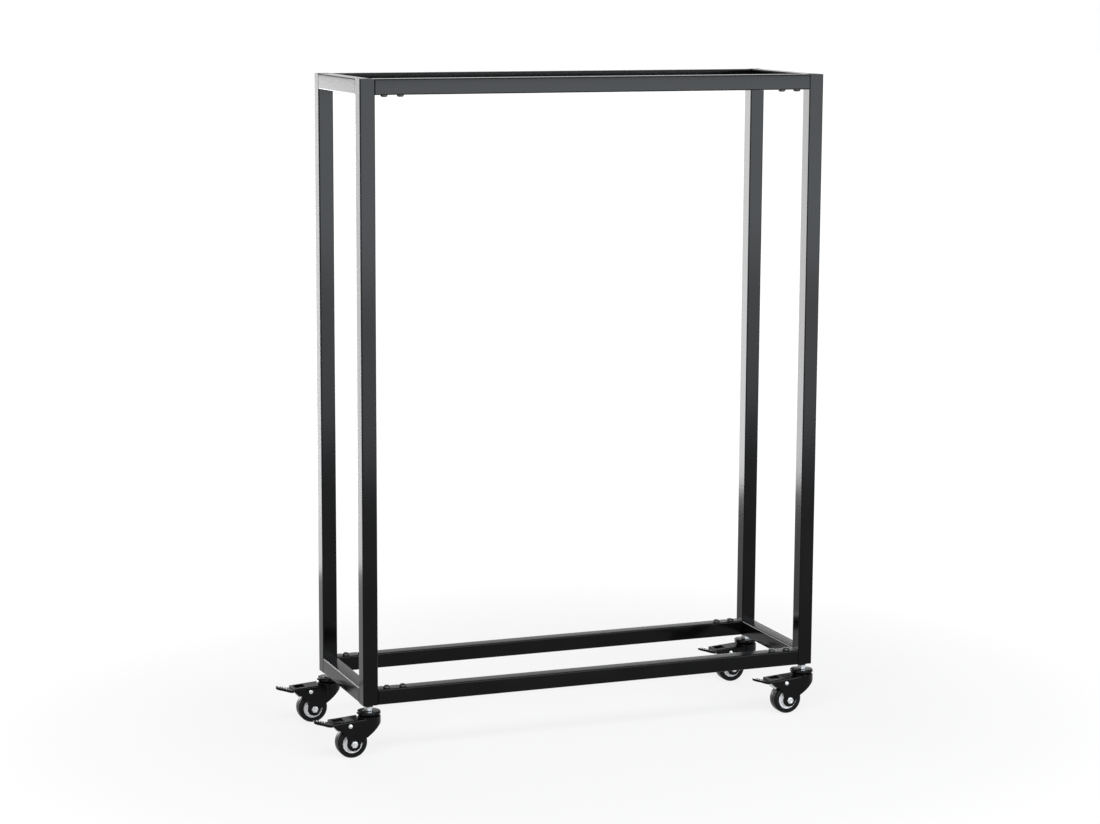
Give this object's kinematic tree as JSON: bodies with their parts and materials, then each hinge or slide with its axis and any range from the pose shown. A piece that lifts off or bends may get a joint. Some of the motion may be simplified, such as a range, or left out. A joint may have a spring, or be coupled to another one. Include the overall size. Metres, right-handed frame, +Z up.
{
  "type": "firewood rack",
  "caption": "Tall open firewood rack: a bolted square-tube steel frame that rolls on swivel casters with foot brakes.",
  "frame": {"origin": "on the floor under the middle of the frame", "axes": "+X along the rack's length, +Y from the front to the back, +Z up"},
  "size_m": [0.8863, 0.2705, 1.0845],
  "materials": {
    "frame_paint": "satin black powder coat on steel tube",
    "black_bolt": "black button-head steel bolts",
    "zinc_plate": "bright zinc plate",
    "black_plastic": "matt black moulded plug",
    "caster_black": "glossy black coat on pressed steel",
    "tyre": "smooth black rubber tread",
    "grey_core": "light grey moulded core"
  },
  "bodies": {
    "frame": {"front_left_post": "frame_paint", "front_right_post": "frame_paint", "rear_left_post": "frame_paint", "rear_right_post": "frame_paint", "left_top_side_rail": "frame_paint", "right_top_side_rail": "frame_paint", "front_top_rail": "frame_paint", "rear_top_rail": "frame_paint", "left_bottom_side_rail": "frame_paint", "right_bottom_side_rail": "frame_paint", "front_bottom_rail": "frame_paint", "rear_bottom_rail": "frame_paint", "rail_spigots": "frame_paint", "rail_bolts": "black_bolt", "spigot_nuts": "zinc_plate", "post_caps": "black_plastic", "stem_sockets": "black_plastic", "caster_stems": "zinc_plate", "stem_jam_nuts": "zinc_plate", "caster_upper_races": "caster_black"},
    "front_left_fork": {"front_left_fork": "caster_black", "front_left_axle_bolt": "zinc_plate", "front_left_axle_nut": "zinc_plate", "front_left_brake_pin": "zinc_plate"},
    "front_left_wheel": {"front_left_tyre": "tyre", "front_left_wheel_core": "grey_core"},
    "front_left_brake": {"front_left_brake_pedal": "caster_black", "front_left_brake_shoe": "zinc_plate"},
    "front_right_fork": {"front_right_fork": "caster_black", "front_right_axle_bolt": "zinc_plate", "front_right_axle_nut": "zinc_plate", "front_right_brake_pin": "zinc_plate"},
    "front_right_wheel": {"front_right_tyre": "tyre", "front_right_wheel_core": "grey_core"},
    "front_right_brake": {"front_right_brake_pedal": "caster_black", "front_right_brake_shoe": "zinc_plate"},
    "rear_left_fork": {"rear_left_fork": "caster_black", "rear_left_axle_bolt": "zinc_plate", "rear_left_axle_nut": "zinc_plate", "rear_left_brake_pin": "zinc_plate"},
    "rear_left_wheel": {"rear_left_tyre": "tyre", "rear_left_wheel_core": "grey_core"},
    "rear_left_brake": {"rear_left_brake_pedal": "caster_black", "rear_left_brake_shoe": "zinc_plate"},
    "rear_right_fork": {"rear_right_fork": "caster_black", "rear_right_axle_bolt": "zinc_plate", "rear_right_axle_nut": "zinc_plate", "rear_right_brake_pin": "zinc_plate"},
    "rear_right_wheel": {"rear_right_tyre": "tyre", "rear_right_wheel_core": "grey_core"},
    "rear_right_brake": {"rear_right_brake_pedal": "caster_black", "rear_right_brake_shoe": "zinc_plate"}
  },
  "joints": [
    {"name": "front_left_swivel", "type": "hinge", "parent": "frame", "child": "front_left_fork", "pos_m": [-0.3875, -0.1125, 0], "axis": [0, 0, 1], "continuous": true},
    {"name": "front_left_wheel_spin", "type": "hinge", "parent": "front_left_fork", "child": "front_left_wheel", "pos_m": [-0.4175, -0.1125, 0.025], "axis": [0, 1, 0], "continuous": true},
    {"name": "front_left_brake_tilt", "type": "hinge", "parent": "front_left_fork", "child": "front_left_brake", "pos_m": [-0.42307, -0.1125, 0.05506], "axis": [0, -1, 0], "range_deg": [0, 14]},
    {"name": "front_right_swivel", "type": "hinge", "parent": "frame", "child": "front_right_fork", "pos_m": [0.3875, -0.1125, 0], "axis": [0, 0, 1], "continuous": true},
    {"name": "front_right_wheel_spin", "type": "hinge", "parent": "front_right_fork", "child": "front_right_wheel", "pos_m": [0.3575, -0.1125, 0.025], "axis": [0, 1, 0], "continuous": true},
    {"name": "front_right_brake_tilt", "type": "hinge", "parent": "front_right_fork", "child": "front_right_brake", "pos_m": [0.35193, -0.1125, 0.05506], "axis": [0, -1, 0], "range_deg": [0, 14]},
    {"name": "rear_left_swivel", "type": "hinge", "parent": "frame", "child": "rear_left_fork", "pos_m": [-0.3875, 0.1125, 0], "axis": [0, 0, 1], "continuous": true},
    {"name": "rear_left_wheel_spin", "type": "hinge", "parent": "rear_left_fork", "child": "rear_left_wheel", "pos_m": [-0.4175, 0.1125, 0.025], "axis": [0, 1, 0], "continuous": true},
    {"name": "rear_left_brake_tilt", "type": "hinge", "parent": "rear_left_fork", "child": "rear_left_brake", "pos_m": [-0.42307, 0.1125, 0.05506], "axis": [0, -1, 0], "range_deg": [0, 14]},
    {"name": "rear_right_swivel", "type": "hinge", "parent": "frame", "child": "rear_right_fork", "pos_m": [0.3875, 0.1125, 0], "axis": [0, 0, 1], "continuous": true},
    {"name": "rear_right_wheel_spin", "type": "hinge", "parent": "rear_right_fork", "child": "rear_right_wheel", "pos_m": [0.3575, 0.1125, 0.025], "axis": [0, 1, 0], "continuous": true},
    {"name": "rear_right_brake_tilt", "type": "hinge", "parent": "rear_right_fork", "child": "rear_right_brake", "pos_m": [0.35193, 0.1125, 0.05506], "axis": [0, -1, 0], "range_deg": [0, 14]}
  ]
}
